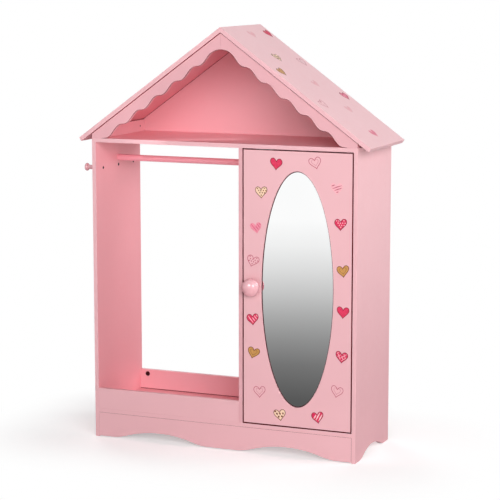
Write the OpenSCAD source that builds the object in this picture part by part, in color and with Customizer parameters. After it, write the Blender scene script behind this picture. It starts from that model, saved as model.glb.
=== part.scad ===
// Child's dress-up storage unit: an open hanging bay beside a closet whose door
// carries an oval mirror, on a base with ogee arches and under a gable roof with
// scalloped trim. Flat boards, joined with dowels, cam locks and screws.
//
// Millimetres. +Z is up, +X is to the right and +Y to the back. The origin lies on
// the floor, under the middle of the cabinet.

/* [Cabinet] */
// Width over the two side panels
body_w = 820; // [760:1:900]
// Depth of the side panels
body_d = 295; // [270:1:340]
// Height of the side panels, which is the underside of the attic shelf
side_h = 881; // [840:1:940]
// Thickness of every board
board_t = 12; // [11.5:0.5:15]
// Clear width of the open hanging bay
bay_w = 452; // [400:1:480]
// Clearance round a board that is let in between others
let_in_gap = 0.25; // [0.1:0.05:0.5]

/* [Base] */
// Height of the underside of the bottom panel
base_h = 74.5; // [65:0.5:100]
// Gap between the floor and the apron's feet
apron_clear = 3; // [1:0.5:8]
// Flat foot of the apron, from the side of the cabinet to the arch
apron_foot_w = 55; // [40:1:80]
// Flat foot of the apron between its two arches
apron_middle_w = 90; // [60:1:120]
// Rise of the apron's arches
apron_rise = 24; // [16:0.5:32]
// Flat foot at the front and back of a side panel
side_foot_w = 37.5; // [28:0.5:60]
// Rise of the arch in a side panel
side_rise = 25; // [16:0.5:32]
// Share of an arch's curve that is its convex crown
crown_share = 0.7; // [0.5:0.05:0.8]

/* [Hanging bay] */
// Height of the front and back rails above the bay's floor
rail_h = 61.5; // [50:0.5:90]
// Diameter of the hanging rod
rod_d = 18.5; // [14:0.5:20]
// Distance from the attic shelf's underside down to the rod's axis
rod_below = 57.5; // [40:0.5:100]
// Depth of the sockets that hold the rod's ends
rod_socket = 4; // [2:0.5:6]

/* [Coat pegs] */
// How far the pegs' axes sit below the hanging rod's axis
peg_drop = 21.5; // [18:0.5:60]
// Distance from peg to peg
peg_pitch = 100; // [70:1:115]
// How far a peg stands out from the side panel
peg_l = 46; // [36:1:56]
// Diameter of a peg's stem
peg_stem_d = 13; // [10:0.5:14]
// Diameter of a peg's head
peg_head_d = 23; // [20:0.5:26]
// Thickness of a peg's head
peg_head_t = 9.5; // [8:0.5:14]

/* [Closet] */
// Thickness of the closet's back panel
closet_back_t = 6; // [3:0.5:9]
// Distance from the door's back to the front edge of a closet shelf
shelf_setback = 15; // [12:1:40]
// Diameter of a shelf pin
pin_d = 5; // [4:0.5:6]
// Length of a shelf pin on each side of the panel's face
pin_reach = 7; // [5:0.5:8]
// Distance of the shelf pins from a shelf's front and back edges
pin_inset = 32; // [25:1:50]

/* [Door] */
// Gap all round the door
door_gap = 3; // [2:0.1:4]
// Width of the door's frame at each side of the mirror
mirror_side = 54; // [50:1:75]
// Height of the door's frame above and below the mirror
mirror_end = 56.25; // [50:0.25:90]
// Depth of the door's lip in front of the mirror
mirror_lip = 5; // [3:0.5:6]
// Width of the rebate that the mirror's edge lies in
mirror_rebate = 7; // [4:0.5:10]
// Thickness of the mirror
mirror_t = 3; // [2:0.5:4]
// Clearance round the mirror in its rebate
mirror_gap = 0.5; // [0.2:0.1:1]

/* [Knob] */
// Distance from the door's free edge to the knob's axis
knob_inset = 27; // [24:1:34]
// How far the knob's axis sits above the middle of the door
knob_up = 3; // [0:0.5:20]
// Diameter of the knob
knob_d = 52; // [40:1:54]
// How far the knob stands out from the door
knob_l = 34; // [30:1:44]
// Distance from the door to the knob's widest part
knob_wide_at = 14; // [12:1:18]
// Diameter of the knob's neck
knob_neck_d = 22; // [16:1:26]

/* [Pivots] */
// Clearance between the side panel and the door's corner as it turns past
swing_gap = 0.5; // [0.2:0.1:1]
// Diameter of the pins that the door turns on
pivot_d = 4; // [3:0.5:5]
// Depth of a pivot pin in the bottom panel and in the attic shelf
pivot_seat = 9; // [7:0.5:9.5]
// Length of a pivot pin in the door
pivot_reach = 20; // [14:1:30]
// Diameter of the bush round a pivot pin, in the door's edge
bush_d = 7; // [6:0.5:8]
// Diameter of the bush's flange, which fills the gap beside the door's edge
flange_d = 11; // [9:0.5:11.5]

/* [Attic and roof] */
// Height of the whole unit
total_h = 1219; // [1150:1:1280]
// How far a roof tip stands out past the side of the cabinet
eave = 39.5; // [34:0.5:60]
// How far the roof stands out past the front
roof_overhang = 5; // [2:0.5:20]
// Distance from the side of the cabinet to a knee wall's inner face
knee_inset = 34; // [26:1:40]
// Shadow gap between a knee wall's top and the roof, at the wall's inner face
knee_open = 3.5; // [1:0.5:6]
// Distance down from the roof's underside to the scallops' middle line
trim_drop = 43; // [36:0.5:50]
// Distance from scallop to scallop
scallop_pitch = 59; // [50:1:70]
// Height of a scallop above and below its middle line
scallop_h = 6; // [3:0.5:7]
// Distance from the middle to the first scallop's flat stretch
scallop_start = 74; // [66:1:82]
// Half width of the round top of the trim
crown_half = 30; // [22:1:34]

/* [Hardware] */
// Diameter of a dowel
dowel_d = 6; // [5:0.5:7]
// Length of a dowel
dowel_l = 30; // [24:1:35]
// Depth of a dowel in a board's face
dowel_seat = 9; // [7:0.5:9.5]
// Distance from a board's front and back edges to the dowels
dowel_inset = 48; // [40:1:60]
// Diameter of a cam lock
cam_d = 14.6; // [12:0.2:15]
// Depth of a cam lock
cam_depth = 9; // [8:0.5:9.5]
// Distance from a rail's end to the cam's middle
cam_inset = 25; // [24:1:34]
// Distance from a rail's top edge to the cam's middle
cam_below = 13.5; // [12:0.5:24]
// Depth of a cam bolt or a peg screw's thread past the joint
bolt_seat = 9; // [7:0.5:9.5]
// Diameter of a cam bolt's shank
cam_bolt_d = 5; // [4:0.5:6]
// Diameter of a peg screw's and a knob screw's shank
screw_d = 4.5; // [4:0.1:5]
// Diameter of a peg screw's head
screw_head_d = 9; // [8:0.1:10]
// Depth of the peg and knob screws in the wood that they hold
screw_grip = 22; // [14:1:26]
// Height of the roof screws above the attic shelf
roof_screw_h = 16.5; // [12:0.5:20]
// Distance of the roof screws from the middle of the cabinet, front and back
roof_screw_y = 105; // [80:1:118]
// Clearance between a dowel, pin, bolt or screw and the side of its hole
fit_gap = 0.05; // [0.03:0.01:0.1]
// Clearance past the end of a dowel, pin, bolt or screw
end_gap = 0.5; // [0.2:0.1:1]

/* [Magnetic catch] */
// Distance from the divider to the middle of the catch
catch_inset = 62; // [50:1:90]
// Length of the catch's case
catch_l = 34; // [28:1:44]
// Depth of the catch's case, front to back
catch_w = 14; // [12:0.5:18]
// Height of the catch's case
catch_h = 13; // [11:0.5:16]
// Thickness of the steel strike plate on the door
strike_t = 1; // [0.6:0.1:1.5]
// Gap between the strike plate and the catch's poles with the door shut
catch_gap = 0.3; // [0.2:0.05:0.5]

/* [Hidden] */

// Colours
face_pink = [0.93, 0.70, 0.73];
shade_pink = [0.85, 0.53, 0.58];
roof_pink = [0.94, 0.79, 0.82];
birch = [0.87, 0.74, 0.55];
steel = [0.72, 0.73, 0.75];
dark_steel = [0.25, 0.20, 0.21];
glass_grey = [0.80, 0.83, 0.84];
hardboard = [0.55, 0.40, 0.28];
white = [0.95, 0.95, 0.94];

// Resolution of turned parts and of a cut far past a board's face
$fn = 96;
past = 1;

// Places across the cabinet
half_w = body_w / 2;
half_d = body_d / 2;
side_in = half_w - board_t;
side_mid = half_w - board_t / 2;
bay_left = -side_in;
bay_right = bay_left + bay_w;
divider_mid = bay_right + board_t / 2;
closet_left = bay_right + board_t;
closet_right = side_in;
inner_d = half_d - board_t;

// Heights
floor_z = base_h + board_t;
rail_top = floor_z + rail_h;
attic_z = side_h + board_t;
rod_z = side_h - rod_below;
peg_z = rod_z - peg_drop;

// Roof: the outer faces meet at the ridge and run down to tips level with the
// top of the attic shelf
tip_x = half_w + eave;
roof_angle = atan((total_h - attic_z) / tip_x);
roof_under_top = total_h - board_t / cos(roof_angle);
knee_in = half_w - knee_inset;
roof_screw_bite = 12;

// Number of straight steps in half a trim board and in half an arch
trim_steps = 104;
arch_steps = 16;

// Door, shut
door_left = closet_left + door_gap;
door_right = closet_right - door_gap;
door_low = floor_z + door_gap;
door_high = side_h - door_gap;
door_x = (door_left + door_right) / 2;
door_z = (door_low + door_high) / 2;
mirror_w = door_right - door_left - 2 * mirror_side;
mirror_h = door_high - door_low - 2 * mirror_end;
door_front = -half_d;
door_back = door_front + board_t;
knob_x = door_left + knob_inset;
knob_z = door_z + knob_up;
knob_bore = screw_grip + end_gap;
screw_head_h = 2.4;
oval_steps = 144;
knob_steps = 24;

// Pivots: they stand just far enough from the door's edge for its corner to turn
// past the side panel
turn_gap = door_gap - swing_gap;
pivot_inset = (pow(board_t / 2, 2) - pow(turn_gap, 2)) / (2 * turn_gap);
pivot_x = door_right - pivot_inset;
pivot_y = door_front + board_t / 2;
flange_t = door_gap - fit_gap;

// Small countersunk screws of the catch's strike plate and the mirror clips
small_screw_d = 2.4;
small_screw_head_d = 4.6;
small_screw_l = 9;

// Closet shelves stand at even heights
shelf_count = 3;
shelf_front = door_back + shelf_setback;
shelf_back = half_d - closet_back_t - let_in_gap;
shelf_step = (side_h - floor_z + board_t) / (shelf_count + 1);

// Catch
catch_x = closet_left + catch_inset;
catch_ear = 9;
catch_ear_t = 3;
catch_screw_d = 2.8;
catch_screw_l = 10;
pole_t = 1.5;
pole_out = 0.6;
pole_w = catch_l - 8;
strike_l = catch_l + 2;
strike_h = catch_h - door_gap - 1;
catch_front = door_back + strike_t + catch_gap + pole_out;

// Mirror clips hold the backing board at the back of the door
clip_angles = [28, 90, 152, 208, 270, 332];
clip_l = 22;
clip_w = 10;
clip_t = 1;
clip_lap = 5;

function roof_under(x) = roof_under_top - x * tan(roof_angle);

// Height of an ogee arch at a distance u from its middle: a convex crown that
// runs smoothly into a concave foot
function ogee(u, half, rise) =
    let (
        turn = 2 * atan(rise / half),
        both_r = half / sin(turn),
        crown_r = crown_share * both_r,
        foot_r = both_r - crown_r
    )
    u < crown_r * sin(turn)
        ? rise - crown_r + sqrt(crown_r * crown_r - u * u)
        : foot_r - sqrt(foot_r * foot_r - (half - u) * (half - u));

// Lower edge of the trim: a wave along the roof's slope, with a round arc of the
// same slope across the middle
function wave(x) = roof_under(x) - trim_drop
    + scallop_h * sin(360 * (x - scallop_start) / scallop_pitch);
function wave_slope(x) = -tan(roof_angle)
    + scallop_h * 2 * PI / scallop_pitch * cos(360 * (x - scallop_start) / scallop_pitch);
crown_turn = atan(-wave_slope(crown_half));
crown_r = crown_half / sin(crown_turn);
function trim_low(x) = x < crown_half
    ? wave(crown_half) - crown_r * cos(crown_turn) + sqrt(crown_r * crown_r - x * x)
    : wave(x);

function oval(half_x, half_z) = [
    for (i = [0 : oval_steps - 1])
        [half_x * cos(360 * i / oval_steps), half_z * sin(360 * i / oval_steps)]
];

// Shared shapes -------------------------------------------------------------

module block(low, high) {
    translate(low)
        cube(high - low);
}

// A board cut from a front view (x, z), t thick, with its front face at y
module front_board(y, t) {
    translate([0, y + t, 0])
        rotate([90, 0, 0])
            linear_extrude(t)
                children();
}

// A board cut from a side view (y, z), t thick, with its left face at x
module side_board(x, t) {
    translate([x, 0, 0])
        rotate([90, 0, 90])
            linear_extrude(t)
                children();
}

// The area under an ogee arch, down to past the floor
module arch_area(half, rise, foot_z) {
    arch = [
        for (i = [-arch_steps : arch_steps])
            [half * i / arch_steps, foot_z + ogee(half * abs(i) / arch_steps, half, rise)]
    ];
    polygon(concat([[-half, -past]], arch, [[half, -past]]));
}

// A turned part's round head: a disc whose rim is a full half circle
module round_head_profile(d, t) {
    rim_x = (d - t) / 2;
    intersection() {
        translate([rim_x, t / 2])
            circle(d = t);
        square([d, t]);
    }
    square([rim_x, t]);
}

// A countersunk screw along +Z with its flat head at z = 0
module screw(d, head_d, head_h, l) {
    cross_w = head_d * 0.13;
    cross_l = head_d * 0.55;
    difference() {
        union() {
            cylinder(d1 = head_d, d2 = d, h = head_h);
            cylinder(d = d, h = l);
        }
        for (turn = [0, 90])
            rotate([0, 0, turn])
                translate([-cross_l / 2, -cross_w / 2, -past])
                    cube([cross_l, cross_w, past + head_h / 2]);
    }
}

// The countersunk hole for such a screw, open at z = 0
module screw_hole(d, head_d, head_h, l) {
    wide = 2 * fit_gap;
    cylinder(d1 = head_d + wide, d2 = d + wide, h = head_h + fit_gap);
    translate([0, 0, -past])
        cylinder(d = head_d + wide, h = past);
    cylinder(d = d + wide, h = l + end_gap);
}

// Places of the repeated hardware -------------------------------------------

// Dowels: +Z runs from the end in a board's face to the end in a board's edge
module each_dowel() {
    for (y = [-half_d + dowel_inset, half_d - dowel_inset]) {
        for (x = [-side_mid, divider_mid, side_mid])
            translate([x, y, side_h + dowel_seat])
                rotate([180, 0, 0])
                    children();
        translate([divider_mid, y, floor_z - dowel_seat])
            children();
        for (side = [-1, 1])
            translate([side * (side_in + dowel_seat), y, base_h + board_t / 2])
                rotate([0, -90 * side, 0])
                    children();
    }
}

module dowel_holes() {
    each_dowel()
        translate([0, 0, -end_gap])
            cylinder(d = dowel_d + 2 * fit_gap, h = dowel_l + 2 * end_gap);
}

// Cam locks: +Z runs into the rail's inner face and +X to the rail's near end
module each_cam() {
    for (back = [-1, 1])
        for (end = [0, 1])
            translate([
                end == 0 ? bay_left + cam_inset : bay_right - cam_inset,
                back * inner_d,
                rail_top - cam_below
            ])
                rotate([-90 * back, 0, 0])
                    mirror([1 - end, 0, 0])
                        children();
}

module cam_bolt_at(d, from_x, to_x) {
    translate([from_x, 0, board_t / 2])
        rotate([0, 90, 0])
            cylinder(d = d, h = to_x - from_x);
}

cam_bolt_tip = 2;
cam_bolt_head_d = 7;
cam_bolt_head_l = 2.5;
cam_channel_d = cam_bolt_head_d + 0.8;

module cam_holes() {
    each_cam() {
        translate([0, 0, -past])
            cylinder(d = cam_d + 4 * fit_gap, h = past + cam_depth + end_gap / 2);
        cam_bolt_at(cam_channel_d, 0, cam_inset);
        cam_bolt_at(cam_bolt_d + 2 * fit_gap, 0, cam_inset + bolt_seat + end_gap);
    }
}

// Pegs: +Z runs out of the left side panel's outer face
module peg_place(number) {
    translate([-half_w, (number - 1) * peg_pitch, peg_z])
        rotate([0, -90, 0])
            children();
}

module peg_screw_place(number) {
    peg_place(number)
        translate([0, 0, -board_t])
            children();
}

// Roof screws: +Z runs out through a knee wall's inner face to the roof
roof_screw_z = attic_z + roof_screw_h;
roof_screw_l = (roof_under_top - roof_screw_z) / tan(roof_angle) - knee_in + roof_screw_bite;
roof_screw_d = 3.5;
roof_screw_head_d = 5.5;
roof_screw_head_h = 1.6;

module each_roof_screw() {
    for (side = [-1, 1])
        for (y = [-roof_screw_y, roof_screw_y])
            translate([side * knee_in, y, roof_screw_z])
                rotate([0, 90 * side, 0])
                    children();
}

module roof_screw_holes() {
    each_roof_screw()
        screw_hole(roof_screw_d, roof_screw_head_d, roof_screw_head_h, roof_screw_l);
}

// Closet shelves and the pins under them
function shelf_z(number) = floor_z + (number + 1) * shelf_step - board_t;

module each_shelf_pin() {
    for (number = [0 : shelf_count - 1])
        for (y = [shelf_front + pin_inset, shelf_back - pin_inset])
            for (x = [closet_left, closet_right])
                translate([x, y, shelf_z(number) - pin_d / 2 - fit_gap])
                    rotate([0, 90, 0])
                        children();
}

module shelf_pin_holes() {
    each_shelf_pin()
        cylinder(d = pin_d + 2 * fit_gap, h = 2 * (pin_reach + end_gap), center = true);
}

// Pivots: the origin is on the door's edge and +Z runs into the door
module each_pivot() {
    translate([pivot_x, pivot_y, door_low])
        children();
    translate([pivot_x, pivot_y, door_high])
        rotate([180, 0, 0])
            children();
}

// What the pins take out of the cabinet
module pivot_holes() {
    each_pivot()
        translate([0, 0, -door_gap - pivot_seat - end_gap])
            cylinder(d = pivot_d + 2 * fit_gap, h = door_gap + pivot_seat + end_gap);
}

// What the bushes take out of the door
module bush_holes() {
    each_pivot()
        translate([0, 0, -past])
            cylinder(d = bush_d + 2 * fit_gap, h = past + pivot_reach + 2 * end_gap);
}

// Catch screws: +Z runs up into the attic shelf
module each_catch_screw() {
    for (x = [-(catch_l + catch_ear) / 2, (catch_l + catch_ear) / 2])
        translate([catch_x + x, catch_front + catch_w / 2, side_h - catch_ear_t])
            children();
}

module catch_screw_holes() {
    each_catch_screw()
        screw_hole(catch_screw_d, catch_screw_d * 2, catch_ear_t / 2, catch_screw_l);
}

// Strike screws: +Z runs forward into the door
module each_strike_screw() {
    for (x = [-strike_l / 3, strike_l / 3])
        translate([catch_x + x, door_back + strike_t, door_high - 1 - strike_h / 2])
            rotate([90, 0, 0])
                children();
}

module strike_screw_holes() {
    each_strike_screw()
        screw_hole(small_screw_d, small_screw_head_d, strike_t, small_screw_l);
}

// Mirror clips: the origin is on the rim of the rebate, +X runs out over the
// door's back face and +Z backwards
module each_clip() {
    rim_x = mirror_w / 2 + mirror_rebate;
    rim_z = mirror_h / 2 + mirror_rebate;
    for (a = clip_angles)
        translate([door_x + rim_x * cos(a), door_back, door_z + rim_z * sin(a)])
            rotate([0, -atan2(sin(a) / rim_z, cos(a) / rim_x), 0])
                rotate([-90, 0, 0])
                    children();
}

module each_clip_screw() {
    each_clip()
        translate([(clip_l - clip_lap) / 2, 0, clip_t])
            rotate([180, 0, 0])
                children();
}

module clip_screw_holes() {
    each_clip_screw()
        screw_hole(small_screw_d, small_screw_head_d, clip_t, small_screw_l);
}

module knob_screw_place() {
    translate([knob_x, door_back, knob_z])
        rotate([90, 0, 0])
            children();
}

// Cabinet -------------------------------------------------------------------

module side_outline() {
    difference() {
        translate([-half_d, 0])
            square([body_d, side_h]);
        arch_area(half_d - side_foot_w, side_rise, 0);
    }
}

module left_side_panel() {
    color(shade_pink)
        difference() {
            side_board(-half_w, board_t)
                side_outline();
            dowel_holes();
            cam_holes();
            rod_sockets();
            for (number = [0 : 2])
                peg_screw_place(number)
                    screw_hole(screw_d, screw_head_d, screw_head_h, board_t + past);
        }
}

module right_side_panel() {
    color(face_pink)
        difference() {
            side_board(side_in, board_t)
                side_outline();
            dowel_holes();
            shelf_pin_holes();
        }
}

module divider_panel() {
    color(face_pink)
        difference() {
            block([bay_right, -half_d, floor_z], [closet_left, half_d, side_h]);
            dowel_holes();
            cam_holes();
            rod_sockets();
            shelf_pin_holes();
        }
}

module bottom_panel() {
    color(shade_pink)
        difference() {
            block([-side_in, -half_d, base_h], [side_in, half_d, floor_z]);
            dowel_holes();
            pivot_holes();
        }
}

module base_apron() {
    arch_half = (half_w - apron_foot_w - apron_middle_w / 2) / 2;
    color(face_pink)
        front_board(-half_d, board_t)
            difference() {
                translate([-side_in, apron_clear])
                    square([2 * side_in, base_h - apron_clear]);
                for (side = [-1, 1])
                    translate([side * (apron_middle_w / 2 + arch_half), 0])
                        arch_area(arch_half, apron_rise, apron_clear);
            }
}

module bay_rail(front_y) {
    color(face_pink)
        difference() {
            block([bay_left, front_y, floor_z], [bay_right, front_y + board_t, rail_top]);
            cam_holes();
        }
}

module attic_shelf() {
    color(face_pink)
        difference() {
            block([-half_w, -half_d, side_h], [half_w, half_d, attic_z]);
            dowel_holes();
            pivot_holes();
            catch_screw_holes();
        }
}

// Closet --------------------------------------------------------------------

module closet_back_panel() {
    color(shade_pink)
        block(
            [closet_left + let_in_gap, half_d - closet_back_t, floor_z + let_in_gap],
            [closet_right - let_in_gap, half_d, side_h - let_in_gap]
        );
}

module closet_shelf(number) {
    z = shelf_z(number);
    color(shade_pink)
        block(
            [closet_left + let_in_gap, shelf_front, z],
            [closet_right - let_in_gap, shelf_back, z + board_t]
        );
}

module shelf_pins() {
    color(steel)
        each_shelf_pin()
            cylinder(d = pin_d, h = 2 * pin_reach, center = true);
}

// Attic and roof ------------------------------------------------------------

// Front view of the attic, from the shelf up to the roof, from left_x to the
// right side of the cabinet
module gable_outline(left_x) {
    polygon([
        [left_x, attic_z],
        [half_w, attic_z],
        [half_w, roof_under(half_w)],
        [0, roof_under_top],
        [left_x, roof_under(abs(left_x))]
    ]);
}

module gable_board(side) {
    trim = [
        for (i = [0 : trim_steps])
            [half_w * i / trim_steps, trim_low(half_w * i / trim_steps)]
    ];
    color(face_pink)
        front_board(-half_d, board_t)
            mirror([side < 0 ? 1 : 0, 0])
                intersection() {
                    gable_outline(0);
                    polygon(concat([[0, total_h]], trim, [[half_w, total_h]]));
                }
}

module attic_back_panel() {
    color(shade_pink)
        front_board(inner_d, board_t)
            gable_outline(-half_w);
}

// A board whose bevelled top touches the roof along its outer edge only
module knee_wall(side) {
    knee_out = knee_in + board_t;
    color(shade_pink)
        difference() {
            front_board(-inner_d, 2 * inner_d)
                mirror([side < 0 ? 1 : 0, 0])
                    polygon([
                        [knee_in, attic_z],
                        [knee_out, attic_z],
                        [knee_out, roof_under(knee_out)],
                        [knee_in, roof_under(knee_in) - knee_open]
                    ]);
            roof_screw_holes();
        }
}

module roof_panel(side) {
    color(roof_pink)
        difference() {
            front_board(-half_d - roof_overhang, body_d + roof_overhang)
                mirror([side < 0 ? 1 : 0, 0])
                    polygon([
                        [0, total_h],
                        [tip_x, attic_z],
                        [tip_x - board_t * sin(roof_angle), attic_z - board_t * cos(roof_angle)],
                        [0, roof_under_top]
                    ]);
            roof_screw_holes();
        }
}

module roof_screws() {
    color(dark_steel)
        each_roof_screw()
            screw(roof_screw_d, roof_screw_head_d, roof_screw_head_h, roof_screw_l);
}

// Bay fittings --------------------------------------------------------------

module rod_between(d, low_x, high_x) {
    translate([low_x, 0, rod_z])
        rotate([0, 90, 0])
            cylinder(d = d, h = high_x - low_x);
}

module hanging_rod() {
    color(face_pink)
        rod_between(rod_d, bay_left - rod_socket, bay_right + rod_socket);
}

module rod_sockets() {
    deep = rod_socket + end_gap;
    rod_between(rod_d + 4 * fit_gap, bay_left - deep, bay_right + deep);
}

module coat_peg(number) {
    stem_l = peg_l - peg_head_t;
    color(face_pink)
        peg_place(number)
            difference() {
                rotate_extrude() {
                    square([peg_stem_d / 2, stem_l + peg_head_t / 2]);
                    translate([0, stem_l])
                        round_head_profile(peg_head_d, peg_head_t);
                }
                translate([0, 0, -past])
                    cylinder(d = screw_d + 2 * fit_gap, h = past + screw_grip + end_gap);
            }
}

module peg_screws() {
    color(dark_steel)
        for (number = [0 : 2])
            peg_screw_place(number)
                screw(screw_d, screw_head_d, screw_head_h, board_t + screw_grip);
}

module dowels() {
    color(birch)
        each_dowel()
            cylinder(d = dowel_d, h = dowel_l);
}

module cam_locks() {
    cross_w = 1.8;
    cross_l = cam_d * 0.62;
    cross_deep = 1.5;
    color(steel)
        each_cam()
            difference() {
                cylinder(d = cam_d, h = cam_depth);
                for (turn = [0, 90])
                    rotate([0, 0, turn])
                        translate([-cross_l / 2, -cross_w / 2, -past])
                            cube([cross_l, cross_w, past + cross_deep]);
                cam_bolt_at(cam_channel_d, 0, cam_d);
            }
}

module cam_bolts() {
    color(steel)
        each_cam() {
            cam_bolt_at(cam_bolt_head_d, cam_bolt_tip, cam_bolt_tip + cam_bolt_head_l);
            cam_bolt_at(cam_bolt_d, cam_bolt_tip, cam_inset + bolt_seat);
        }
}

// Pivots and catch ----------------------------------------------------------

module pivot_pins() {
    color(steel)
        each_pivot()
            translate([0, 0, -door_gap - pivot_seat])
                cylinder(d = pivot_d, h = door_gap + pivot_seat + pivot_reach);
}

module pivot_bushes() {
    color(dark_steel)
        each_pivot()
            difference() {
                union() {
                    cylinder(d = bush_d, h = pivot_reach + end_gap);
                    translate([0, 0, -flange_t])
                        cylinder(d = flange_d, h = flange_t);
                }
                translate([0, 0, -door_gap])
                    cylinder(d = pivot_d + 2 * fit_gap, h = door_gap + pivot_reach + 2 * end_gap);
            }
}

module catch_case() {
    full_l = catch_l + 2 * catch_ear;
    color(white)
        difference() {
            union() {
                block(
                    [catch_x - catch_l / 2, catch_front, side_h - catch_h],
                    [catch_x + catch_l / 2, catch_front + catch_w, side_h]
                );
                block(
                    [catch_x - full_l / 2, catch_front, side_h - catch_ear_t],
                    [catch_x + full_l / 2, catch_front + catch_w, side_h]
                );
            }
            catch_pole_slots();
            catch_screw_holes();
        }
}

// The two steel poles lie one above the other and stand a little out of the case
module catch_pole(number, more) {
    z = side_h - catch_h / 2 + (number - 0.5) * catch_h * 0.45;
    block(
        [catch_x - pole_w / 2 - more, catch_front - pole_out - more, z - pole_t / 2 - more],
        [catch_x + pole_w / 2 + more, catch_front + catch_w * 0.7 + more, z + pole_t / 2 + more]
    );
}

module catch_poles() {
    color(steel)
        for (number = [0, 1])
            catch_pole(number, 0);
}

module catch_pole_slots() {
    for (number = [0, 1])
        catch_pole(number, fit_gap);
}

module catch_screws() {
    color(steel)
        each_catch_screw()
            screw(catch_screw_d, catch_screw_d * 2, catch_ear_t / 2, catch_screw_l);
}

module catch_strike() {
    color(steel)
        difference() {
            block(
                [catch_x - strike_l / 2, door_back, door_high - 1 - strike_h],
                [catch_x + strike_l / 2, door_back + strike_t, door_high - 1]
            );
            strike_screw_holes();
        }
}

module strike_screws() {
    color(steel)
        each_strike_screw()
            screw(small_screw_d, small_screw_head_d, strike_t, small_screw_l);
}

// Door ----------------------------------------------------------------------

module door_oval(y, t, grow) {
    front_board(y, t)
        translate([door_x, door_z])
            polygon(oval(mirror_w / 2 + grow, mirror_h / 2 + grow));
}

module door_panel() {
    color(face_pink)
        difference() {
            block([door_left, door_front, door_low], [door_right, door_back, door_high]);
            door_oval(door_front - past, board_t + 2 * past, 0);
            door_oval(door_front + mirror_lip, board_t, mirror_rebate);
            bush_holes();
            knob_screw_place()
                screw_hole(screw_d, screw_head_d, screw_head_h, board_t + past);
            strike_screw_holes();
            clip_screw_holes();
        }
}

module mirror_glass() {
    color(glass_grey)
        door_oval(door_front + mirror_lip, mirror_t, mirror_rebate - mirror_gap);
}

module mirror_backing() {
    backing_t = board_t - mirror_lip - mirror_t;
    color(hardboard)
        door_oval(door_back - backing_t, backing_t, mirror_rebate - mirror_gap);
}

module mirror_clips() {
    color(steel)
        difference() {
            each_clip()
                translate([clip_l / 2 - clip_lap, 0, 0])
                    translate([-clip_l / 2, -clip_w / 2, 0])
                        cube([clip_l, clip_w, clip_t]);
            clip_screw_holes();
        }
}

module mirror_clip_screws() {
    color(steel)
        each_clip_screw()
            screw(small_screw_d, small_screw_head_d, clip_t, small_screw_l);
}

// A mushroom knob: a dome over a flat underside that rounds into the neck
module door_knob() {
    neck_r = knob_neck_d / 2;
    flare = 3;
    under_h = knob_wide_at / 2;
    dome_h = knob_l - knob_wide_at;
    head = [
        for (i = [-knob_steps : knob_steps])
            let (a = 90 * i / knob_steps)
                [knob_d / 2 * cos(a), knob_wide_at + (i < 0 ? under_h : dome_h) * sin(a)]
    ];
    color(face_pink)
        translate([knob_x, door_front, knob_z])
            rotate([90, 0, 0])
                difference() {
                    rotate_extrude() {
                        square([neck_r, knob_wide_at]);
                        translate([neck_r, 0])
                            difference() {
                                square(flare);
                                translate([flare, flare])
                                    circle(r = flare);
                            }
                        polygon(head);
                    }
                    translate([0, 0, -past])
                        cylinder(d = screw_d + 2 * fit_gap, h = past + knob_bore);
                }
}

module knob_screw() {
    color(steel)
        knob_screw_place()
            screw(screw_d, screw_head_d, screw_head_h, board_t + screw_grip);
}

left_side_panel();
right_side_panel();
divider_panel();
bottom_panel();
base_apron();
bay_rail(-half_d);  // bay_front_rail
bay_rail(inner_d);  // bay_back_rail
attic_shelf();
closet_back_panel();
closet_shelf(0);  // closet_shelf_lower
closet_shelf(1);  // closet_shelf_middle
closet_shelf(2);  // closet_shelf_upper
shelf_pins();
knee_wall(-1);  // left_knee_wall
knee_wall(1);  // right_knee_wall
attic_back_panel();
gable_board(-1);  // left_gable_board
gable_board(1);  // right_gable_board
roof_panel(-1);  // left_roof_panel
roof_panel(1);  // right_roof_panel
roof_screws();
hanging_rod();
coat_peg(0);  // coat_peg_front
coat_peg(1);  // coat_peg_middle
coat_peg(2);  // coat_peg_back
peg_screws();
dowels();
cam_locks();
cam_bolts();
pivot_pins();
catch_case();
catch_poles();
catch_screws();
door_panel();
mirror_glass();
mirror_backing();
mirror_clips();
mirror_clip_screws();
door_knob();
knob_screw();
pivot_bushes();
catch_strike();
strike_screws();
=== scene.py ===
import math
import random

import bmesh
import bpy
from mathutils import Matrix, Vector


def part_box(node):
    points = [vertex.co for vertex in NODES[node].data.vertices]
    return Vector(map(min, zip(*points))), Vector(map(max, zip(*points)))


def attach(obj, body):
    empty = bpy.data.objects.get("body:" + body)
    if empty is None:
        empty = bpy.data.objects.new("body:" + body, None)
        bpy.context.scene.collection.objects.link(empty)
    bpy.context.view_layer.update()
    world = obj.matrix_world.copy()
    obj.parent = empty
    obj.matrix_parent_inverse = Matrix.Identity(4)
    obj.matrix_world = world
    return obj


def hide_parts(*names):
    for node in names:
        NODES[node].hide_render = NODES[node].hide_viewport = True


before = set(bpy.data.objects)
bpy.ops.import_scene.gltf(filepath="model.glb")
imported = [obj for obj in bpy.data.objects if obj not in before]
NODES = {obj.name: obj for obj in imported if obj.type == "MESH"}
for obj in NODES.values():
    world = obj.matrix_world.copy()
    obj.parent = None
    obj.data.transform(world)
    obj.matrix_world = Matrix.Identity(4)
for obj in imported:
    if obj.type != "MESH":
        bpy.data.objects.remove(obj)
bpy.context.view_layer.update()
MM = 0.001


# Colours and materials ------------------------------------------------------

def srgb(r, g, b):
    """An 8-bit sRGB colour as linear RGBA."""
    def linear(c):
        c /= 255
        return c / 12.92 if c <= 0.04045 else ((c + 0.055) / 1.055) ** 2.4
    return (linear(r), linear(g), linear(b), 1.0)


def scaled(colour, k):
    return tuple(min(1.0, c * k) for c in colour[:3]) + (1.0,)


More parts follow.
